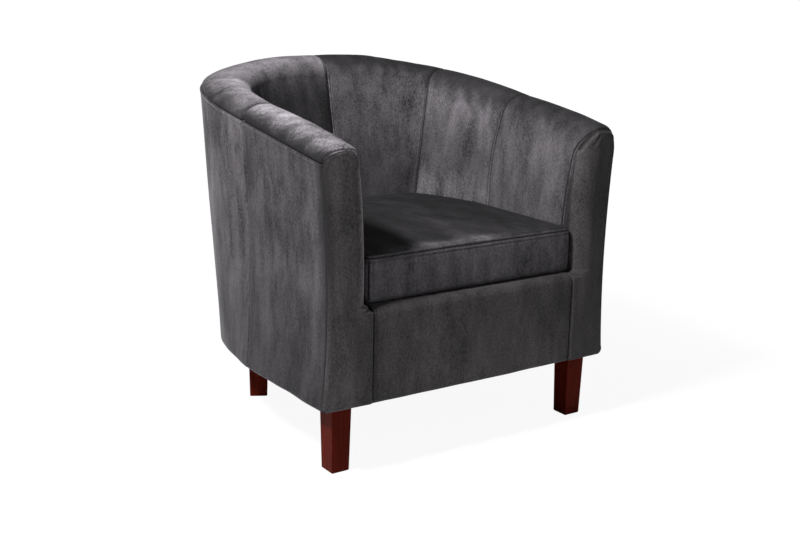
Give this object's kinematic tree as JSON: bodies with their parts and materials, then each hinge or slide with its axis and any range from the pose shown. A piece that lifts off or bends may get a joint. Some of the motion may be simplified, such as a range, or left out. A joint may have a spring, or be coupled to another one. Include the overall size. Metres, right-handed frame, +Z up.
{
  "type": "cocktail chair",
  "caption": "Low upholstered tub armchair with a sloping rolled rim, sewn inside panels, a loose boxed seat cushion and square tapered wooden legs.",
  "frame": {"origin": "on the floor, under the middle of the chair's box", "axes": "+Z up, -Y to the open front, +X to the right as seen from the front"},
  "size_m": [0.6622, 0.64, 0.6861],
  "materials": {
    "velvet": "short velvet pile, anthracite",
    "cushion_velvet": "short velvet pile, anthracite",
    "leg_wood": "satin mahogany stain",
    "frame_wood": "bare sawn wood and plywood",
    "zinc_steel": "zinc plated",
    "webbing": "woven elastic strap",
    "felt": "needled felt",
    "lining_cloth": "thin non-woven cloth",
    "foam": "soft upholstery foam"
  },
  "bodies": {
    "tub": {"back_top_rail": "frame_wood", "centre_back_post": "frame_wood", "deck_cloth": "lining_cloth", "deck_pad": "felt", "dust_cover": "lining_cloth", "front_border": "velvet", "front_left_block": "frame_wood", "front_left_leg": "leg_wood", "front_rail": "frame_wood", "front_right_block": "frame_wood", "front_right_leg": "leg_wood", "hanger_bolts": "zinc_steel", "left_arm_board": "frame_wood", "left_arm_front": "velvet", "left_arm_inner": "velvet", "left_arm_post": "frame_wood", "left_arm_rail": "frame_wood", "left_back_inner": "velvet", "left_back_post": "frame_wood", "left_base_rail": "frame_wood", "left_outer_panel": "velvet", "left_seat_rail": "frame_wood", "left_wing_inner": "velvet", "outer_back_panel": "velvet", "rear_base_rail": "frame_wood", "rear_left_block": "frame_wood", "rear_left_leg": "leg_wood", "rear_right_block": "frame_wood", "rear_right_leg": "leg_wood", "rear_seat_rail": "frame_wood", "right_arm_board": "frame_wood", "right_arm_front": "velvet", "right_arm_inner": "velvet", "right_arm_post": "frame_wood", "right_arm_rail": "frame_wood", "right_back_inner": "velvet", "right_back_post": "frame_wood", "right_base_rail": "frame_wood", "right_outer_panel": "velvet", "right_seat_rail": "frame_wood", "right_wing_inner": "velvet", "seat_straps_cross": "webbing", "seat_straps_long": "webbing", "tee_nuts": "zinc_steel"},
    "seat_cushion": {"cushion_bottom": "cushion_velvet", "cushion_border": "cushion_velvet", "cushion_foam": "foam", "cushion_top": "cushion_velvet"}
  },
  "joints": [
    {"name": "seat_cushion_lift", "type": "slide", "parent": "tub", "child": "seat_cushion", "axis": [0, 0, 1], "range_m": [0, 0.42]}
  ]
}
